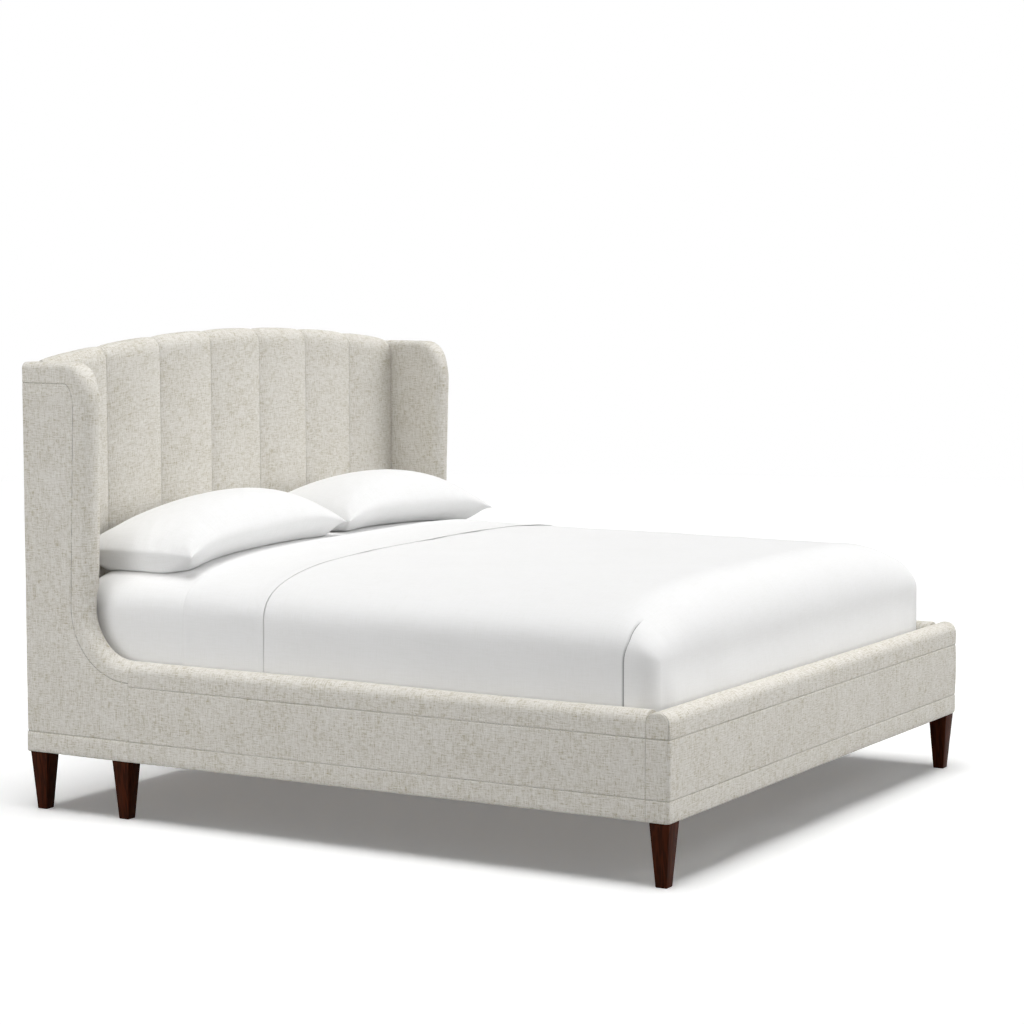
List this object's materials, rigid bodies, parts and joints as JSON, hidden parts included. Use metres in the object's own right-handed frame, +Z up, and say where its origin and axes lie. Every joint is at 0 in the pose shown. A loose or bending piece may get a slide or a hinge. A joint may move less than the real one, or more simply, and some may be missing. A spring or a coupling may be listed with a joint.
{
  "type": "upholstered headboard bed",
  "caption": "King bed with an arched, channelled wing headboard, padded fabric rails, tapered square legs, slatted base, mattress, tucked bedding and pillows.",
  "frame": {"origin": "on the floor, under the middle of the bed's footprint", "axes": "+Z up, +Y towards the headboard; -X is the left long side for someone who stands at the foot and looks at the headboard"},
  "size_m": [2.1, 2.214, 1.451],
  "materials": {
    "upholstery": "matte",
    "back_fabric": "matte",
    "timber": "matte",
    "slat_wood": "satin",
    "leg_wood": "satin",
    "bracket_steel": "satin",
    "bolt_steel": "satin",
    "ticking": "matte",
    "bed_linen": "matte",
    "pillow_linen": "matte"
  },
  "bodies": {
    "bed_frame": {"headboard_panel": "timber", "headboard_post_left": "timber", "headboard_post_right": "timber", "headboard_cross_rail": "timber", "headboard_back_cover": "back_fabric", "channel_pad_1": "upholstery", "channel_pad_2": "upholstery", "channel_pad_3": "upholstery", "channel_pad_4": "upholstery", "channel_pad_5": "upholstery", "channel_pad_6": "upholstery", "channel_pad_7": "upholstery", "wing_board_left": "timber", "wing_board_right": "timber", "wing_cover_left": "upholstery", "wing_cover_right": "upholstery", "side_rail_board_left": "timber", "side_rail_board_right": "timber", "side_rail_cover_left": "upholstery", "side_rail_cover_right": "upholstery", "foot_rail_board": "timber", "foot_rail_cover": "upholstery", "slat_ledge_left": "timber", "slat_ledge_right": "timber", "head_corner_brackets": "bracket_steel", "foot_corner_brackets": "bracket_steel", "frame_bolts": "bolt_steel", "centre_beam": "timber", "beam_hangers": "bracket_steel", "centre_leg_1": "timber", "centre_leg_2": "timber", "slat_1": "slat_wood", "slat_2": "slat_wood", "slat_3": "slat_wood", "slat_4": "slat_wood", "slat_5": "slat_wood", "slat_6": "slat_wood", "slat_7": "slat_wood", "slat_8": "slat_wood", "slat_9": "slat_wood", "slat_10": "slat_wood", "slat_11": "slat_wood", "slat_12": "slat_wood", "leg_rear_left": "leg_wood", "leg_rear_right": "leg_wood", "leg_wing_left": "leg_wood", "leg_wing_right": "leg_wood", "leg_foot_left": "leg_wood", "leg_foot_right": "leg_wood", "leg_bolts": "bolt_steel"},
    "mattress": {"mattress": "ticking", "fitted_sheet": "bed_linen"},
    "coverlet": {"coverlet": "bed_linen", "top_sheet": "bed_linen"},
    "pillow_left": {"pillow_left": "pillow_linen"},
    "pillow_right": {"pillow_right": "pillow_linen"},
    "levelling_foot_1": {"levelling_foot_1": "bolt_steel"},
    "levelling_foot_2": {"levelling_foot_2": "bolt_steel"}
  },
  "joints": [
    {"name": "mattress_lift", "type": "slide", "parent": "bed_frame", "child": "mattress", "axis": [0, 0, 1], "range_m": [0, 0.4]},
    {"name": "coverlet_lift", "type": "slide", "parent": "mattress", "child": "coverlet", "axis": [0, 0, 1], "range_m": [0, 0.3]},
    {"name": "pillow_left_lift", "type": "slide", "parent": "mattress", "child": "pillow_left", "axis": [0, 0, 1], "range_m": [0, 0.3]},
    {"name": "pillow_right_lift", "type": "slide", "parent": "mattress", "child": "pillow_right", "axis": [0, 0, 1], "range_m": [0, 0.3]},
    {"name": "levelling_foot_1_turn", "type": "hinge", "parent": "bed_frame", "child": "levelling_foot_1", "pos_m": [0, -0.36, 0.02], "axis": [0, 0, 1], "range_deg": [-360, 360]},
    {"name": "levelling_foot_2_turn", "type": "hinge", "parent": "bed_frame", "child": "levelling_foot_2", "pos_m": [0, 0.36, 0.02], "axis": [0, 0, 1], "range_deg": [-360, 360]}
  ]
}
